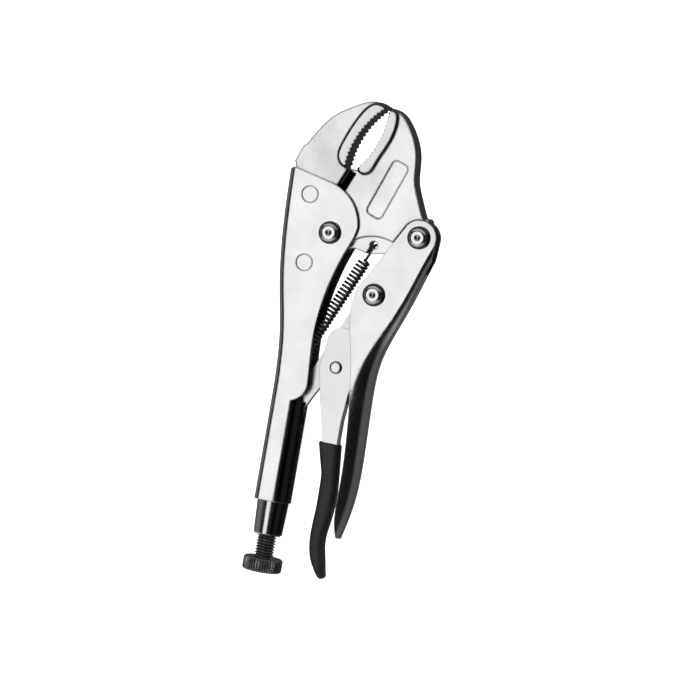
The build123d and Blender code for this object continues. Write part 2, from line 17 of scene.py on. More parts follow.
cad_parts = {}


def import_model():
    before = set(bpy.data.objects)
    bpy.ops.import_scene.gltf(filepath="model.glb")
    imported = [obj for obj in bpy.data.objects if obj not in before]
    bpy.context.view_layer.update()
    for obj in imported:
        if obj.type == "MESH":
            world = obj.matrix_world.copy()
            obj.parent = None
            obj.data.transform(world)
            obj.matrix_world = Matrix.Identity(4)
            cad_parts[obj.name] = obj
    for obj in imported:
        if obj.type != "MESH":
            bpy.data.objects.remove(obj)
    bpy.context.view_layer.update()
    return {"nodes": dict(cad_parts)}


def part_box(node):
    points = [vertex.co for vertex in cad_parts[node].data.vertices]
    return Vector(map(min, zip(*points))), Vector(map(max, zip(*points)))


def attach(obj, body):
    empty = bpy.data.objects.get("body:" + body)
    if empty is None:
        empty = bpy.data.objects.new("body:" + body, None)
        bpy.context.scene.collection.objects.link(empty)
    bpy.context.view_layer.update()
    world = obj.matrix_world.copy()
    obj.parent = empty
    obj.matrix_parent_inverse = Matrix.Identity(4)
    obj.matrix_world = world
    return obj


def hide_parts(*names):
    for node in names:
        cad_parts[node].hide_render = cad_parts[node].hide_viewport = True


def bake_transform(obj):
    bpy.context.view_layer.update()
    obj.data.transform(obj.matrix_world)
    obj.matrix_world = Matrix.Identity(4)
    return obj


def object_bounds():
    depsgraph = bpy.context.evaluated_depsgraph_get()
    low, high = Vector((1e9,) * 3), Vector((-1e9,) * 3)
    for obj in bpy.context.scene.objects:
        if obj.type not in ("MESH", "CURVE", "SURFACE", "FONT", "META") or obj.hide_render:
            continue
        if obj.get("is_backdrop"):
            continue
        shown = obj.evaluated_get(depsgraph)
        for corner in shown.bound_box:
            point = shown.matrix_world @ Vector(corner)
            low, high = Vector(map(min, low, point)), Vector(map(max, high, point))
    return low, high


log = logging.getLogger("pliers")

MM = 0.001


# ---------------------------------------------------------------- names
class Body(Enum):
    """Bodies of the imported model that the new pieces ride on."""

    FIXED = "fixed_side"
    JAW = "jaw"
    LEVER = "lever"
    SCREW = "screw"


class Slot(Enum):
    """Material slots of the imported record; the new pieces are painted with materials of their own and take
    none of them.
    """

    DARK = "dark_steel"
    VINYL = "vinyl"


# ---------------------------------------------------------------- node helper
class Graph:
    """A material's node tree, with short calls for the nodes that the finishes use."""

    def __init__(self, name: str) -> None:
        """Start an empty material.

        Args:
            name: Name of the material.
        """
        self.material = bpy.data.materials.new(name)
        self.material.use_nodes = True
        self.tree = self.material.node_tree
        self.tree.nodes.clear()
        self.output = self.tree.nodes.new("ShaderNodeOutputMaterial")
        self.shader = self.tree.nodes.new("ShaderNodeBsdfPrincipled")
        self.link(self.shader.outputs["BSDF"], self.output.inputs["Surface"])
        self.coordinates = self.tree.nodes.new("ShaderNodeTexCoord").outputs["Object"]

    def link(self, source: bpy.types.NodeSocket, target: bpy.types.NodeSocket) -> None:
        """Join two sockets.

        Args:
            source: Output socket.
            target: Input socket.
        """
        self.tree.links.new(source, target)

    def feed(self, value: object, target: bpy.types.NodeSocket) -> None:
        """Give an input a constant or a link.

        Args:
            value: A socket, a number or a colour.
            target: Input socket.
        """
        if isinstance(value, bpy.types.NodeSocket):
            self.link(value, target)
        else:
            target.default_value = value

    def math(self, operation: str, first: object, second: object = 0.0) -> bpy.types.NodeSocket:
        """Add a math node.

        Args:
            operation: Name of the operation.
            first: First value.
            second: Second value.

        Returns:
            The node's output.
        """
        node = self.tree.nodes.new("ShaderNodeMath")
        node.operation = operation
        self.feed(first, node.inputs[0])
        self.feed(second, node.inputs[1])
        return node.outputs[0]

    def vector_math(self, operation: str, first: object, second: object) -> bpy.types.Node:
        """Add a vector math node.

        Args:
            operation: Name of the operation.
            first: First vector.
            second: Second vector.

        Returns:
            The node.
        """
        node = self.tree.nodes.new("ShaderNodeVectorMath")
        node.operation = operation
        self.feed(first, node.inputs[0])
        self.feed(second, node.inputs[1])
        return node

    def stretch(self, scale: Sequence[float], turn: float = 0.0) -> bpy.types.NodeSocket:
        """Scale the object's coordinates, turned about Z first.

        Args:
            scale: Scale along X, Y and Z.
            turn: Angle in degrees.

        Returns:
            The scaled coordinates.
        """
        turned = self.tree.nodes.new("ShaderNodeVectorRotate")
        turned.rotation_type = "Z_AXIS"
        turned.inputs["Angle"].default_value = radians(turn)
        self.link(self.coordinates, turned.inputs["Vector"])
        return self.vector_math("MULTIPLY", turned.outputs[0], tuple(scale)).outputs[0]

    def noise(self, where: bpy.types.NodeSocket, scale: float, detail: float = 4.0,
              roughness: float = 0.55) -> bpy.types.NodeSocket:
        """Add a noise texture.

        Args:
            where: Coordinates.
            scale: Scale of the noise, per metre of the coordinates.
            detail: Octaves.
            roughness: Strength of the fine octaves.

        Returns:
            The noise, from 0 to 1.
        """
        node = self.tree.nodes.new("ShaderNodeTexNoise")
        node.inputs["Scale"].default_value = scale
        node.inputs["Detail"].default_value = detail
        node.inputs["Roughness"].default_value = roughness
        self.link(where, node.inputs["Vector"])
        return node.outputs["Fac"]

    def remap(self, value: bpy.types.NodeSocket, low: float, high: float, to_low: float,
              to_high: float) -> bpy.types.NodeSocket:
        """Map a range of a value onto another range, clamped.

        Args:
            value: Value to map.
            low: Start of its range.
            high: End of its range.
            to_low: Result at the start.
            to_high: Result at the end.

        Returns:
            The mapped value.
        """
        node = self.tree.nodes.new("ShaderNodeMapRange")
        self.link(value, node.inputs["Value"])
        ends = (("From Min", low), ("From Max", high), ("To Min", to_low), ("To Max", to_high))
        for name, number in ends:
            node.inputs[name].default_value = number
        return node.outputs["Result"]

    def blend(self, share: bpy.types.NodeSocket, first: object, second: object) -> bpy.types.NodeSocket:
        """Mix two colours.

        Args:
            share: Share of the second colour, from 0 to 1.
            first: First colour.
            second: Second colour.

        Returns:
            The mixed colour.
        """
        node = self.tree.nodes.new("ShaderNodeMix")
        node.data_type = "RGBA"
        self.link(share, node.inputs[0])
        self.feed(first, node.inputs[6])
        self.feed(second, node.inputs[7])
        return node.outputs[2]

    def soft_edges(self, radius: float) -> tuple[bpy.types.NodeSocket, bpy.types.NodeSocket]:
        """Round the edges in shading.

        Args:
            radius: Radius of the rounding.

        Returns:
            The rounded normal, and a mask that is above 0 near an edge.
        """
        bevel = self.tree.nodes.new("ShaderNodeBevel")
        bevel.samples = 6
        bevel.inputs["Radius"].default_value = radius
        plain = self.tree.nodes.new("ShaderNodeNewGeometry").outputs["Normal"]
        likeness = self.vector_math("DOT_PRODUCT", bevel.outputs[0], plain).outputs["Value"]
        return bevel.outputs[0], self.remap(likeness, 0.995, 0.8, 0.0, 1.0)

    def bump(self, height: bpy.types.NodeSocket, strength: float, distance: float,
             normal: bpy.types.NodeSocket | None = None) -> bpy.types.NodeSocket:
        """Add a bump node.

        Args:
            height: Height, from 0 to 1.
            strength: Strength, from 0 to 1.
            distance: Depth that the whole height stands for.
            normal: Normal to start from.

        Returns:
            The bumped normal.
        """
        node = self.tree.nodes.new("ShaderNodeBump")
        node.inputs["Strength"].default_value = strength
        node.inputs["Distance"].default_value = distance
        self.link(height, node.inputs["Height"])
        if normal is not None:
            self.link(normal, node.inputs["Normal"])
        return node.outputs[0]

    def finish(self, **inputs: object) -> bpy.types.Material:
        """Set the shader's inputs.

        Args:
            **inputs: Values by socket name in lower case, with underscores for spaces.

        Returns:
            The finished material.
        """
        for name, value in inputs.items():
            socket = "Specular IOR Level" if name == "specular" else name.replace("_", " ").title()
            self.feed(value, self.shader.inputs[socket])
        return self.material


def grey(value: float) -> tuple[float, float, float, float]:
    """Neutral colour.

    Args:
        value: Brightness.

    Returns:
        The colour with alpha.
    """
    return (value, value, value, 1.0)


# ---------------------------------------------------------------- finishes
@dataclass(frozen=True)
class PlatedSteel:
    """Bright nickel plate over pressed or forged steel, with a fine grain and worn edges.

    Faces that tilt over, where X of their normal is above flank_from, take the flank's share of the tone:
    a painted dark reflection, kept in the colour under any light. Flat faces above pad_level are
    sandblasted.
    """

    name: str = "bright_plate"
    tone: float = 0.88
    dull_tone: float = 0.78
    polished: float = 0.10
    dulled: float = 0.22
    grain_turn: float = 0.0
    grain_depth: float = 4e-6
    edge_radius: float = 0.35 * MM
    flank: float = 1.0
    flank_from: float = -1.5
    pad_level: float | None = None

    def material(self) -> bpy.types.Material:
        """Build the material.

        Returns:
            The material.
        """
        graph = Graph(self.name)
        grain = graph.noise(graph.stretch((9.0, 1.0, 9.0), self.grain_turn), 420.0, 5.0, 0.65)
        cloud = graph.noise(graph.coordinates, 46.0, 3.0)
        speck = graph.noise(graph.coordinates, 2600.0, 2.0, 0.5)
        normal, edge = graph.soft_edges(self.edge_radius)
        patch = graph.noise(graph.coordinates, 380.0)
        wear = graph.math("MULTIPLY", edge, graph.remap(patch, 0.42, 0.62, 0.25, 1.0))
        colour = graph.blend(graph.remap(cloud, 0.35, 0.7, 0.0, 1.0), grey(self.tone), grey(self.dull_tone))
        colour = graph.blend(graph.math("MULTIPLY", wear, 0.5), colour, (0.62, 0.61, 0.585, 1.0))
        rough = graph.remap(graph.math("ADD", graph.math("MULTIPLY", grain, 0.55),
                                       graph.math("MULTIPLY", cloud, 0.45)), 0.32, 0.68,
                            self.polished, self.dulled)
        rough = graph.math("ADD", rough, graph.math("MULTIPLY", wear, 0.10))
        height = graph.math("ADD", grain, graph.math("MULTIPLY", speck, 0.35))
        # Painted dark reflection: faces that tilt over on the flank_from side are darkened in colour to the
        # flank's share of the tone
        if self.flank < 1.0:
            facing = graph.tree.nodes.new("ShaderNodeSeparateXYZ")
            graph.link(normal, facing.inputs[0])
            upright = graph.math("ABSOLUTE", facing.outputs[2])
            side = graph.remap(facing.outputs[0], self.flank_from, self.flank_from + 0.15, 0.0, 1.0)
            share = graph.math("MULTIPLY", side, graph.remap(upright, 0.99, 0.92, 0.0, 1.0))
            colour = graph.blend(share, colour, grey(self.tone * self.flank))
        metal: object = 1.0
        if self.pad_level is not None:
            z = graph.tree.nodes.new("ShaderNodeSeparateXYZ")
            graph.link(graph.coordinates, z.inputs[0])
            pad = graph.remap(z.outputs[2], self.pad_level, self.pad_level + 0.2 * MM, 0.0, 1.0)
            pad = graph.math("MULTIPLY", pad, graph.remap(upright, 0.70, 0.92, 0.0, 1.0))
            sand = graph.noise(graph.coordinates, 1500.0, 3.0, 0.7)
            blotch = graph.remap(sand, 0.3, 0.7, 0.0, 1.0)
            matte = graph.blend(blotch, grey(0.84), grey(0.97))
            colour = graph.blend(pad, colour, matte)
            rough = graph.math("ADD", rough, graph.math("MULTIPLY", pad, 0.28))
            grit = graph.math("MULTIPLY", graph.math("MULTIPLY", pad, sand), 9.0)
            height = graph.math("ADD", height, grit)
            metal = graph.remap(pad, 0.0, 1.0, 1.0, 0.15)
        return graph.finish(base_color=colour, metallic=metal, roughness=rough,
                            normal=graph.bump(height, 1.0, self.grain_depth, normal))


@dataclass(frozen=True)
class TurnedSteel:
    """Plated rivet steel with turning marks round its centre, and a painted dark reflection on its sloping
    faces.
    """

    name: str
    centre: tuple[float, float]
    tone: float = 0.84
    roughness: float = 0.13
    ring_pitch: float = 0.22 * MM
    edge_radius: float = 0.25 * MM
    flank: float = 0.07

    def material(self) -> bpy.types.Material:
        """Build the material.

        Returns:
            The material.
        """
        graph = Graph(self.name)
        flat = graph.vector_math("MULTIPLY", graph.coordinates, (1.0, 1.0, 0.0)).outputs[0]
        away = graph.vector_math("SUBTRACT", flat, (self.centre[0], self.centre[1], 0.0)).outputs[0]
        reach = graph.vector_math("LENGTH", away, (0.0, 0.0, 0.0)).outputs["Value"]
        rings = graph.math("SINE", graph.math("MULTIPLY", reach, 2 * pi / self.ring_pitch))
        smear = graph.noise(graph.coordinates, 700.0, 4.0)
        normal, edge = graph.soft_edges(self.edge_radius)
        rough = graph.remap(smear, 0.3, 0.7, self.roughness - 0.03, self.roughness + 0.1)
        height = graph.math("ADD", graph.math("MULTIPLY", rings, 0.5), smear)
        colour = graph.blend(graph.math("MULTIPLY", edge, 0.5), grey(self.tone), grey(0.6))
        # Painted dark reflection: faces that slope away from flat are darkened in colour to the flank's
        # share of the tone
        facing = graph.tree.nodes.new("ShaderNodeSeparateXYZ")
        graph.link(normal, facing.inputs[0])
        painted_slope_shade = graph.remap(graph.math("ABSOLUTE", facing.outputs[2]), 0.9, 0.75, 0.0, 1.0)
        colour = graph.blend(painted_slope_shade, colour, grey(self.tone * self.flank))
        return graph.finish(base_color=colour, metallic=1.0, roughness=rough,
                            normal=graph.bump(height, 1.0, 3e-6, normal))


@dataclass(frozen=True)
class DarkSteel:
    """Oiled black steel that rubs bright on its crests."""

    name: str
    axis: tuple[float, float]
    crest: float
    root: float
    tone: float = 0.09
    bright: float = 0.46
    roughness: float = 0.30

    def material(self) -> bpy.types.Material:
        """Build the material.

        Returns:
            The material.
        """
        graph = Graph(self.name)
        flat = graph.vector_math("MULTIPLY", graph.coordinates, (1.0, 0.0, 1.0)).outputs[0]
        away = graph.vector_math("SUBTRACT", flat, (self.axis[0], 0.0, self.axis[1])).outputs[0]
        reach = graph.vector_math("LENGTH", away, (0.0, 0.0, 0.0)).outputs["Value"]
        crest = graph.remap(reach, self.root, self.crest, 0.0, 1.0)
        cloud = graph.noise(graph.coordinates, 260.0, 4.0, 0.6)
        fine = graph.noise(graph.coordinates, 2200.0, 3.0)
        rub = graph.math("MULTIPLY", graph.math("POWER", crest, 2.0),
                         graph.remap(cloud, 0.38, 0.62, 0.35, 1.0))
        colour = graph.blend(rub, grey(self.tone), grey(self.bright))
        rough = graph.math("ADD", graph.remap(cloud, 0.3, 0.7, self.roughness - 0.08, self.roughness + 0.12),
                           graph.math("MULTIPLY", rub, -0.08))
        return graph.finish(base_color=colour, metallic=0.9, roughness=rough,
                            normal=graph.bump(fine, 0.6, 8e-6))


@dataclass(frozen=True)
class SpringSteel:
    """Drawn spring wire with an oil-dark skin."""

    name: str = "spring_wire"
    tone: float = 0.09
    roughness: float = 0.26

    def material(self) -> bpy.types.Material:
        """Build the material.

        Returns:
            The material.
        """
        graph = Graph(self.name)
        cloud = graph.noise(graph.coordinates, 520.0, 4.0, 0.6)
        fine = graph.noise(graph.coordinates, 3000.0, 2.0)
        colour = graph.blend(graph.remap(cloud, 0.35, 0.65, 0.0, 1.0), grey(self.tone),
                             grey(self.tone * 2.1))
        rough = graph.remap(cloud, 0.3, 0.7, self.roughness - 0.06, self.roughness + 0.14)
        return graph.finish(base_color=colour, metallic=1.0, roughness=rough,
                            normal=graph.bump(fine, 0.5, 5e-6))


@dataclass(frozen=True)
class DippedVinyl:
    """Soft black vinyl that was dipped, matte with faint orange peel and scuffs."""

    name: str = "dipped_vinyl"
    tone: float = 0.017
    roughness: float = 0.46

    def material(self) -> bpy.types.Material:
        """Build the material.

        Returns:
            The material.
        """
        graph = Graph(self.name)
        peel = graph.noise(graph.coordinates, 900.0, 3.0, 0.5)
        sag = graph.noise(graph.stretch((1.0, 0.3, 1.0)), 120.0, 2.0)
        streak = graph.noise(graph.stretch((4.0, 1.0, 4.0), 20.0), 300.0, 5.0, 0.7)
        scuff = graph.remap(streak, 0.56, 0.75, 0.0, 1.0)
        colour = graph.blend(graph.math("MULTIPLY", scuff, 0.5), grey(self.tone), grey(self.tone * 2.6))
        rough = graph.math("ADD", graph.remap(peel, 0.3, 0.7, self.roughness - 0.05, self.roughness + 0.07),
                           graph.math("MULTIPLY", scuff, 0.12))
        height = graph.math("ADD", graph.math("MULTIPLY", peel, 0.5), graph.math("MULTIPLY", sag, 1.0))
        return graph.finish(base_color=colour, roughness=rough, specular=0.5,
                            normal=graph.bump(height, 0.7, 6e-5))


@dataclass(frozen=True)
class PaleFloor:
    """Plain pale light table under the tool."""

    name: str = "pale_floor"
    tone: float = 0.92
    glow: float = 0.90

    def material(self) -> bpy.types.Material:
        """Build the material.

        Returns:
            The material.
        """
        graph = Graph(self.name)
        fibre = graph.noise(graph.coordinates, 60.0, 3.0)
        colour = graph.blend(graph.remap(fibre, 0.3, 0.7, 0.0, 1.0), grey(self.tone), grey(self.tone * 0.99))
        return graph.finish(base_color=colour, roughness=0.9, specular=0.1,
                            emission_color=colour, emission_strength=self.glow)


# ---------------------------------------------------------------- mesh helpers
def smooth(piece: bpy.types.Object, angle: float = 28.0) -> None:
    """Shade a piece smooth except over its sharp edges.

    Args:
        piece: Mesh object.
        angle: Angle in degrees above which an edge stays sharp.
    """
    mesh = piece.data
    mesh.polygons.foreach_set("use_smooth", [True] * len(mesh.polygons))
    mesh.set_sharp_from_angle(angle=radians(angle))


def paint(piece: bpy.types.Object, material: bpy.types.Material) -> None:
    """Give a piece one material.

    Args:
        piece: Mesh object.
        material: Its material.
    """
    piece.data.materials.clear()
    piece.data.materials.append(material)


def from_rings(name: str, rings: Sequence[Sequence[Vector]]) -> bpy.types.Object:
    """Skin a closed tube over rings of equal length, with a fan at both ends.

    Args:
        name: Name of the piece.
        rings: Rings of points.

    Returns:
        The new mesh object.
    """
    count = len(rings[0])
    points = [tuple(point) for ring in rings for point in ring]
    faces = [
        (row * count + spot, row * count + (spot + 1) % count,
         (row + 1) * count + (spot + 1) % count, (row + 1) * count + spot)
        for row in range(len(rings) - 1) for spot in range(count)
    ]
    for row, flip in ((0, True), (len(rings) - 1, False)):
        centre = sum((Vector(point) for point in rings[row]), Vector()) / count
        points.append(tuple(centre))
        hub = len(points) - 1
        for spot in range(count):
            near, far = row * count + spot, row * count + (spot + 1) % count
            faces.append((hub, far, near) if flip else (hub, near, far))
    mesh = bpy.data.meshes.new(name)
    mesh.from_pydata(points, [], faces)
    mesh.validate()
    mesh.update()
    piece = bpy.data.objects.new(name, mesh)
    bpy.context.scene.collection.objects.link(piece)
    return piece


def tube(name: str, path: Sequence[Vector], radius: float, sides: int = 14) -> bpy.types.Object:
    """Sweep a round wire along a path, without twist.

    Args:
        name: Name of the piece.
        path: Points of the wire's centre line.
        radius: Radius of the wire.
        sides: Points round the wire.

    Returns:
        The new mesh object.
    """
    ahead = [(path[min(i + 1, len(path) - 1)] - path[max(i - 1, 0)]).normalized() for i in range(len(path))]
    side = ahead[0].orthogonal().normalized()
    rings = []
    for i, point in enumerate(path):
        if i:
            side = (ahead[i - 1].rotation_difference(ahead[i]) @ side).normalized()
        other = ahead[i].cross(side)
        rings.append([point + radius * (side * cos(2 * pi * k / sides) + other * sin(2 * pi * k / sides))
                      for k in range(sides)])
    return from_rings(name, rings)


def settle(path: Sequence[Vector], rounds: int) -> list[Vector]:
    """Soften a path's corners, with its ends kept.

    Args:
        path: Points of the path.
        rounds: Times that each point moves towards its neighbours.

    Returns:
        The softened path.
    """
    line = list(path)
    for _ in range(rounds):
        inner = [(line[i - 1] + 2 * line[i] + line[i + 1]) / 4 for i in range(1, len(line) - 1)]
        line = [line[0], *inner, line[-1]]
    return line


def spread(corners: Sequence[Vector], step: float) -> list[Vector]:
    """Points at an even step along straight runs.

    Args:
        corners: Corners of the runs.
        step: Longest distance between points.

    Returns:
        The points.
    """
    points = [corners[0]]
    for start, end in zip(corners, corners[1:]):
        count = max(1, round((end - start).length / step))
        points += [start.lerp(end, (i + 1) / count) for i in range(count)]
    return points


# ---------------------------------------------------------------- sub-assemblies
class Group:
    """CAD nodes that keep their shape and get one finish each."""

    def __init__(self, nodes: dict[str, bpy.types.Object]) -> None:
        """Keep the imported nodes.

        Args:
            nodes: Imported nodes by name.
        """
        self.nodes = nodes

    def coat(self, name: str, material: bpy.types.Material) -> None:
        """Smooth a CAD node and paint it.

        Args:
            name: Name of the node.
            material: Its material.
        """
        piece = self.nodes[name]
        smooth(piece)
        paint(piece, material)
        log.info("%s painted with %s", name, material.name)

    def build(self) -> None:
        """Make this group's new pieces."""

    def dress(self) -> None:
        """Give this group's nodes their finishes."""


class FixedSide(Group):
    """Fixed handle with its jaw, the two jaw rivets, the main pivot and the screw's bush."""

    def dress(self) -> None:
        """Paint the fixed side's nodes."""
        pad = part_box("fixed_jaw")[1].z - 0.3 * MM
        # The flank settings paint a dark reflection into the colour: on the handle's right-facing side, on
        # every tilted wall of the jaw, and on the bush's right side
        self.coat("fixed_handle", PlatedSteel(name="fixed_handle_plate", edge_radius=0.9 * MM, flank=0.12,
                                              flank_from=0.15).material())
        self.coat("fixed_jaw", PlatedSteel(name="fixed_jaw_plate", polished=0.16, dulled=0.3,
                                           edge_radius=1.2 * MM, flank=0.08, pad_level=pad).material())
        flush = PlatedSteel(name="flush_rivet_plate", tone=0.84, polished=0.12)
        for name in ("front_jaw_rivet", "rear_jaw_rivet"):
            self.coat(name, flush.material())
        self.coat("main_pivot_rivet", TurnedSteel("main_pivot_steel", (0.0, 0.0)).material())
        self.coat("threaded_bush", PlatedSteel(name="bush_plate", grain_turn=90.0, polished=0.12,
                                                flank=0.12, flank_from=0.3).material())


class MovingJaw(Group):
    """Moving jaw with its teeth and wire cutter."""

    def dress(self) -> None:
        """Paint the moving jaw."""
        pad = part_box("moving_jaw")[1].z - 0.3 * MM
        # flank=0.08 paints a dark reflection into the colour of every tilted wall of the jaw
        self.coat("moving_jaw", PlatedSteel(name="moving_jaw_plate", polished=0.12, dulled=0.26,
                                            edge_radius=1.2 * MM, flank=0.08, pad_level=pad).material())


class LowerSide(Group):
    """Lower handle with its two headed rivets."""

    def dress(self) -> None:
        """Paint the lower side's nodes."""
        self.coat("lower_handle", PlatedSteel(name="lower_handle_plate", grain_turn=-8.0,
                                              edge_radius=0.45 * MM).material())
        for name in ("handle_pivot_rivet", "link_pivot_rivet"):
            low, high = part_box(name)
            centre = ((low.x + high.x) / 2, (low.y + high.y) / 2)
            self.coat(name, TurnedSteel(f"{name}_steel", centre).material())


class ToggleLink(Group):
    """Link between the lower handle and the adjusting screw."""

    def dress(self) -> None:
        """Paint the link."""
        self.coat("toggle_link", PlatedSteel(name="link_plate", tone=0.8, polished=0.14, dulled=0.28,
                                             grain_turn=20.0).material())


@dataclass(frozen=True)
class SleeveSizes:
    """Sizes of the dipped sleeve."""

    corner: float = 2.9 * MM
    stations: int = 90
    corner_points: int = 7
    skin: float = 0.05 * MM
    mouth_lip: float = 0.5 * MM
    mouth_drop: float = 1.2 * MM
    foot_rise: float = 0.15 * MM
    end_round: float = 3.2 * MM
    end_taper: float = 0.6


class ReleaseLever(Group):
    """Release lever with its rivet and its dipped vinyl sleeve."""

    sizes = SleeveSizes()

    def outline(self, height: float) -> tuple[float, float]:
        """Left and right edge of the sleeve's solid at a height along Y.

        Args:
            height: Height along Y.

        Returns:
            Lowest and highest X there.
        """
        mesh = self.nodes["lever_sleeve"].data
        crossings = []
        for edge in mesh.edges:
            first, second = (mesh.vertices[i].co for i in edge.vertices)
            if (first.y - height) * (second.y - height) < 0:
                share = (height - first.y) / (second.y - first.y)
                crossings.append(first.x + share * (second.x - first.x))
        return min(crossings), max(crossings)

    def section(self, left: float, right: float, half: float, height: float, middle: float,
                inset: float) -> list[Vector]:
        """Rounded rectangle across the sleeve.

        Args:
            left: Lowest X.
            right: Highest X.
            half: Half of its thickness along Z.
            height: Height along Y.
            middle: Z of its centre.
            inset: Distance that the section is drawn in.

        Returns:
            The section's points.
        """
        left, right, half = left + inset, right - inset, half - inset
        corner = max(0.1 * MM, min(self.sizes.corner - 0.4 * inset, (right - left) / 2.02, half / 1.01))
        corners = [(right - corner, half - corner, 0), (left + corner, half - corner, 90),
                   (left + corner, corner - half, 180), (right - corner, corner - half, 270)]
        points = []
        for x, z, start in corners:
            for step in range(self.sizes.corner_points):
                turn = radians(start + 90 * step / (self.sizes.corner_points - 1))
                points.append(Vector((x + corner * cos(turn), height, middle + z + corner * sin(turn))))
        return points

    def build(self) -> None:
        """Make the sleeve, rounded as dipped vinyl sets."""
        low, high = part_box("lever_sleeve")
        middle, half = (low.z + high.z) / 2, (high.z - low.z) / 2
        lip, rounding = self.sizes.mouth_lip, self.sizes.end_round
        rings = []
        top, foot = high.y - self.sizes.mouth_drop, low.y + self.sizes.foot_rise
        for station in range(self.sizes.stations + 1):
            share = station / self.sizes.stations
            height = top + (foot - top) * share
            left, right = self.outline(height)
            from_top, from_foot = top - height, height - foot
            inset = self.sizes.skin
            if from_top < lip:
                inset += lip * (1 - sqrt(max(0.0, 1 - (1 - from_top / lip) ** 2)))
            end = 0.0
            if from_foot < rounding:
                drop = 1 - sqrt(max(0.0, 1 - (1 - from_foot / rounding) ** 2))
                end = half * self.sizes.end_taper * drop
            rings.append(self.section(left, right, half - end, height, middle, inset))
        piece = from_rings("dipped_sleeve", rings)
        smooth(piece, 60.0)
        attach(piece, Body.LEVER.value)
        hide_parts("lever_sleeve")
        paint(piece, DippedVinyl().material())
        log.info("dipped_sleeve made of %d rings", len(rings))

    def dress(self) -> None:
        """Paint the lever and its rivet."""
        self.coat("release_lever", PlatedSteel(name="lever_plate", tone=0.82, polished=0.13).material())
        low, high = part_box("release_lever_rivet")
        centre = ((low.x + high.x) / 2, (low.y + high.y) / 2)
        self.coat("release_lever_rivet", TurnedSteel("lever_rivet_steel", centre, roughness=0.18).material())


@dataclass(frozen=True)
class ScrewSizes:
    """Sizes of the adjusting screw and its knob."""

    pitch: float = 1.5 * MM
    thread_depth: float = 0.92 * MM
    sides: int = 56
    steps_per_turn: int = 12
    point: float = 1.2 * MM
    ribs: int = 44
    points_per_rib: int = 8
    rib_depth: float = 0.55 * MM
    knob_edge: float = 1.0 * MM
    knob_lip: float = 0.25 * MM
    knob_shoulder: float = 0.18 * MM
    knob_dish: float = 0.35 * MM
    rub_depth: float = 0.9 * MM


class AdjustingScrew(Group):
    """Threaded screw with its knurled knob, and the stop ring on it."""

    sizes = ScrewSizes()

    def thread_radius(self, turn: float, down: float, outer: float) -> float:
        """Radius of a right-hand thread with flat crests and roots.

        Args:
            turn: Angle round the screw.
            down: Distance from the screw's tip.
            outer: Radius of its crests.

        Returns:
            The radius there.
        """
        phase = (down / self.sizes.pitch + turn / (2 * pi)) % 1.0
        flank = min(1.0, max(0.0, abs(phase - 0.5) * 2.7 - 0.2))
        return outer - self.sizes.thread_depth * (1 - flank) if flank < 1.0 else outer

    def screw(self) -> bpy.types.Object:
        """Make the threaded screw.

        Returns:
            The screw.
        """
        low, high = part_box("adjusting_screw")
        x, z, outer = (low.x + high.x) / 2, (low.z + high.z) / 2, (high.x - low.x) / 2
        length = high.y - low.y
        step = self.sizes.pitch / self.sizes.steps_per_turn
        rings = []
        for row in range(floor(length / step) + 1):
            down = min(length, row * step)
            limit = outer - max(0.0, self.sizes.point - down)
            ring = []
            for side in range(self.sizes.sides):
                turn = 2 * pi * side / self.sizes.sides
                radius = min(limit, self.thread_radius(turn, down, outer))
                ring.append(Vector((x + radius * cos(turn), high.y - down, z + radius * sin(turn))))
            rings.append(ring)
        return from_rings("threaded_screw", rings)

    def knob(self) -> bpy.types.Object:
        """Make the knurled knob.

        Returns:
            The knob.
        """
        low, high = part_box("adjusting_knob")
        x, z, outer = (low.x + high.x) / 2, (low.z + high.z) / 2, (high.x - low.x) / 2
        edge, deep = self.sizes.knob_edge, self.sizes.rib_depth
        lip, dish = self.sizes.knob_lip, self.sizes.knob_dish
        shoulder, rim = outer - self.sizes.knob_shoulder, outer - edge * 0.62
        thick = high.y - low.y
        profile = [(0.0, outer * 0.50, 0.0), (0.0, outer - edge, 0.0), (lip, rim, 0.1),
                   (edge * 0.6, shoulder, 0.7), (edge, outer, 1.0), (thick * 0.5, outer, 1.0),
                   (thick - edge, outer, 1.0), (thick - edge * 0.6, shoulder, 0.7),
                   (thick - lip, rim, 0.1), (thick, outer - edge, 0.0), (thick, outer * 0.78, 0.0),
                   (thick - dish, outer * 0.72, 0.0), (thick - dish, outer * 0.2, 0.0)]
        count = self.sizes.ribs * self.sizes.points_per_rib
        rings = []
        for down, radius, share in profile:
            ring = []
            for side in range(count):
                turn = 2 * pi * side / count
                wave = 0.5 - 0.5 * cos(turn * self.sizes.ribs)
                cut = deep * share * (1 - min(1.0, wave * 1.45))
                reach = radius - cut
                ring.append(Vector((x + reach * cos(turn), high.y - down, z + reach * sin(turn))))
            rings.append(ring)
        return from_rings("knurled_knob", rings)

    def build(self) -> None:
        """Make the screw and its knob."""
        for maker, node in ((self.screw, "adjusting_screw"), (self.knob, "adjusting_knob")):
            piece = maker()
            smooth(piece, 32.0)
            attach(piece, Body.SCREW.value)
            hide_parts(node)
            low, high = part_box(node)
            axis = ((low.x + high.x) / 2, (low.z + high.z) / 2)
            outer = (high.x - low.x) / 2
            steel = DarkSteel(f"{piece.name}_steel", axis, crest=outer, root=outer - self.sizes.rub_depth)
            paint(piece, steel.material())
            log.info("%s made of %d points", piece.name, len(piece.data.vertices))

    def dress(self) -> None:
        """Paint the stop ring."""
        low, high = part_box("screw_stop_ring")
        axis = ((low.x + high.x) / 2, (low.z + high.z) / 2)
        steel = DarkSteel("stop_ring_steel", axis, crest=6 * MM, root=4 * MM)
        self.coat("screw_stop_ring", steel.material())


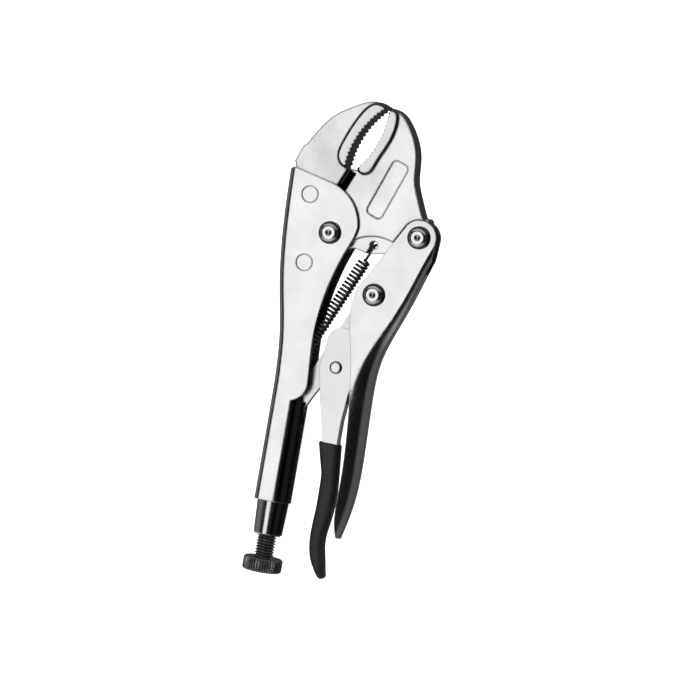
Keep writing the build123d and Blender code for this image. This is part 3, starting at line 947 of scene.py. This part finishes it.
@dataclass(frozen=True)
class SpringSizes:
    """Sizes of the opening spring."""

    upper_hole: tuple[float, float] = (22.6 * MM, -2.4 * MM)
    lower_hole: tuple[float, float] = (-12.2 * MM, -80.0 * MM)
    upper_tail: float = 9.5 * MM
    lower_tail: float = 14.0 * MM
    wire: float = 1.4 * MM
    coil: float = 2.85 * MM
    pitch: float = 2.1 * MM
    hook_bar: float = 2.4 * MM
    end_growth: float = 0.6
    hook_step: float = 0.4 * MM
    softening: int = 3
    wire_sides: int = 12
    steps_per_turn: int = 24


class OpeningSpring(Group):
    """Coiled spring between the fixed handle and the moving jaw."""

    sizes = SpringSizes()

    def path(self, middle: float) -> list[Vector]:
        """Centre line of the wire, from the lower hook to the upper one.

        Args:
            middle: Z of the spring's axis.

        Returns:
            The points.
        """
        sizes = self.sizes
        low = Vector((*sizes.lower_hole, middle))
        high = Vector((*sizes.upper_hole, middle))
        along = (high - low).normalized()
        up = Vector((0.0, 0.0, 1.0))
        side = up.cross(along)
        start, end = low + along * sizes.lower_tail, high - along * sizes.upper_tail
        length = (end - start).length
        turns = round(length / sizes.pitch)
        coil = []
        count = turns * sizes.steps_per_turn
        for i in range(count + 1):
            turn = 2 * pi * i / sizes.steps_per_turn
            grow = sizes.end_growth * sizes.steps_per_turn
            spread_out = min(1.0, i / grow, (count - i) / grow)
            reach = sizes.coil * sin(spread_out * pi / 2)
            coil.append(start + along * (length * i / count) + reach * (side * cos(turn) + up * sin(turn)))
        lower_hook = spread([low + up * sizes.hook_bar, low, start], sizes.hook_step)[:-1]
        upper_hook = spread([end, high, high - up * sizes.hook_bar], sizes.hook_step)[1:]
        return settle(lower_hook + coil + upper_hook, sizes.softening)

    def build(self) -> None:
        """Make the spring, which stretches from the fixed handle to the moving jaw."""
        low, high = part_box("opening_spring")
        middle = (low.z + high.z) / 2
        path = self.path(middle)
        piece = tube("coiled_spring", path, self.sizes.wire / 2, self.sizes.wire_sides)
        smooth(piece, 60.0)
        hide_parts("opening_spring")
        paint(piece, SpringSteel().material())
        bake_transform(piece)
        log.info("coiled_spring made of %d points along its wire", len(path))


# ---------------------------------------------------------------- studio
@dataclass(frozen=True)
class Panel:
    """A soft light panel that faces a point."""

    name: str
    place: tuple[float, float, float]
    aim: tuple[float, float, float]
    size: tuple[float, float]
    radiance: float
    in_reflections: bool
    tint: tuple[float, float, float] = (1.0, 1.0, 1.0)

    def build(self) -> bpy.types.Object:
        """Make the light.

        Returns:
            The light object.
        """
        lamp = bpy.data.lights.new(self.name, "AREA")
        lamp.shape = "RECTANGLE"
        lamp.size, lamp.size_y = self.size
        lamp.energy = self.radiance * pi * self.size[0] * self.size[1]
        lamp.color = self.tint
        piece = bpy.data.objects.new(self.name, lamp)
        bpy.context.scene.collection.objects.link(piece)
        place, aim = Vector(self.place), Vector(self.aim)
        back = (place - aim).normalized()
        right = Vector((0.0, 1.0, 0.0)).cross(back).normalized()
        turn = Matrix((right, back.cross(right), back)).transposed()
        piece.matrix_world = Matrix.Translation(place) @ turn.to_4x4()
        piece.visible_glossy = self.in_reflections
        log.info("light %s, %.1f W", self.name, lamp.energy)
        return piece


@dataclass(frozen=True)
class CameraSizes:
    """Where the camera stands and what it aims at."""

    place: tuple[float, float, float] = (0.5133, 0.0742, 1.944)
    aim: tuple[float, float, float] = (0.01267, -0.05347, 0.0119)
    roll: float = 10.19
    lens: float = 206.95
    sensor: float = 36.0


class Studio:
    """Floor, pale dome, lights, dark surroundings and camera.

    The surroundings show only in the steel: room is their brightness overhead, and ground, left, right
    and ends are what they rise to below, on either side, and beyond the jaws and the screw.
    """

    camera = CameraSizes()
    room = 0.006
    ground = 0.10
    left = 0.16
    right = 0.09
    ends = 0.5
    floor_half = 4.0
    dome_reach = 3.9
    dome_sides = 48
    dome_rows = 12
    panels = (
        Panel("flat_face_panel", (-0.26, -0.12, 1.0), (-0.20, -0.11, 0.0), (0.50, 0.72), 1.03, True),
        Panel("overhead_panel", (-0.9, 0.2, 1.6), (0.0, -0.05, 0.0), (2.6, 2.6), 1.6, False),
    )

    def floor(self, level: float) -> None:
        """Lay the floor, which doesn't show in the steel.

        Args:
            level: Z of the floor.
        """
        half = self.floor_half
        mesh = bpy.data.meshes.new("floor")
        corners = [(-half, -half, level), (half, -half, level), (half, half, level), (-half, half, level)]
        mesh.from_pydata(corners, [], [(0, 1, 2, 3)])
        piece = bpy.data.objects.new("floor", mesh)
        bpy.context.scene.collection.objects.link(piece)
        paint(piece, PaleFloor().material())
        piece.visible_glossy = False
        piece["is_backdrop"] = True

    def backdrop(self, level: float) -> None:
        """Close the room with a pale dome, which doesn't show in the steel and lights nothing.

        Args:
            level: Z of the floor.
        """
        rings = []
        for row in range(self.dome_rows):
            lift = pi / 2 * row / self.dome_rows
            radius, height = self.dome_reach * cos(lift), level + self.dome_reach * sin(lift)
            turns = [2 * pi * side / self.dome_sides for side in range(self.dome_sides)]
            rings.append([Vector((radius * cos(turn), radius * sin(turn), height)) for turn in turns])
        piece = from_rings("backdrop", rings)
        smooth(piece, 60.0)
        paint(piece, PaleFloor(name="pale_backdrop", glow=0.9).material())
        piece.visible_glossy = False
        piece.visible_diffuse = False
        piece.visible_shadow = False
        piece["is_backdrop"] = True

    def surroundings(self) -> None:
        """Surround the tool with a dark room that is paler below and to its sides."""
        world = bpy.data.worlds.new("dark_room")
        world.use_nodes = True
        tree = world.node_tree
        where = tree.nodes.new("ShaderNodeTexCoord")
        parts = tree.nodes.new("ShaderNodeSeparateXYZ")
        tree.links.new(where.outputs["Generated"], parts.inputs[0])
        glows = []
        sides = (
            (2, -0.55, -0.95, self.ground),
            (0, -0.7, -1.0, self.left),
            (0, 0.70, 0.84, self.right),
            (1, -0.36, -0.62, self.ends),
            (1, 0.36, 0.62, self.ends),
        )
        for axis, start, end, top in sides:
            ramp = tree.nodes.new("ShaderNodeMapRange")
            ramp.interpolation_type = "SMOOTHSTEP"
            tree.links.new(parts.outputs[axis], ramp.inputs["Value"])
            ends = (("From Min", start), ("From Max", end), ("To Min", self.room), ("To Max", top))
            for name, number in ends:
                ramp.inputs[name].default_value = number
            glows.append(ramp.outputs["Result"])
        brightest = glows[0]
        for glow in glows[1:]:
            brighter = tree.nodes.new("ShaderNodeMath")
            brighter.operation = "MAXIMUM"
            tree.links.new(brightest, brighter.inputs[0])
            tree.links.new(glow, brighter.inputs[1])
            brightest = brighter.outputs[0]
        tree.links.new(brightest, tree.nodes["Background"].inputs["Color"])
        bpy.context.scene.world = world

    def view(self) -> None:
        """Place the camera."""
        data = bpy.data.cameras.new("camera")
        data.lens = self.camera.lens
        data.sensor_width = self.camera.sensor
        data.clip_start, data.clip_end = 0.01, 20.0
        piece = bpy.data.objects.new("camera", data)
        bpy.context.scene.collection.objects.link(piece)
        place, aim = Vector(self.camera.place), Vector(self.camera.aim)
        roll = radians(self.camera.roll)
        back = (place - aim).normalized()
        right = Vector((-sin(roll), cos(roll), 0.0)).cross(back).normalized()
        turn = Matrix((right, back.cross(right), back)).transposed()
        piece.matrix_world = Matrix.Translation(place) @ turn.to_4x4()
        bpy.context.scene.camera = piece

    def build(self) -> None:
        """Make the whole studio."""
        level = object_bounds()[0][2]
        self.floor(level)
        self.backdrop(level)
        self.surroundings()
        for panel in self.panels:
            panel.build()
        self.view()
        settings = bpy.context.scene.view_settings
        settings.view_transform = "Standard"
        settings.look = "None"
        settings.exposure = 0.0
        settings.gamma = 1.0


def main() -> None:
    """Load the model, make and paint every piece, and set up the studio."""
    logging.basicConfig(level=logging.INFO, format="%(name)s: %(message)s")
    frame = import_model()
    groups = [kind(frame["nodes"]) for kind in
              (FixedSide, MovingJaw, LowerSide, ToggleLink, ReleaseLever, AdjustingScrew, OpeningSpring)]
    for group in groups:
        group.build()
        group.dress()
    Studio().build()


if __name__ == "__main__":
    main()
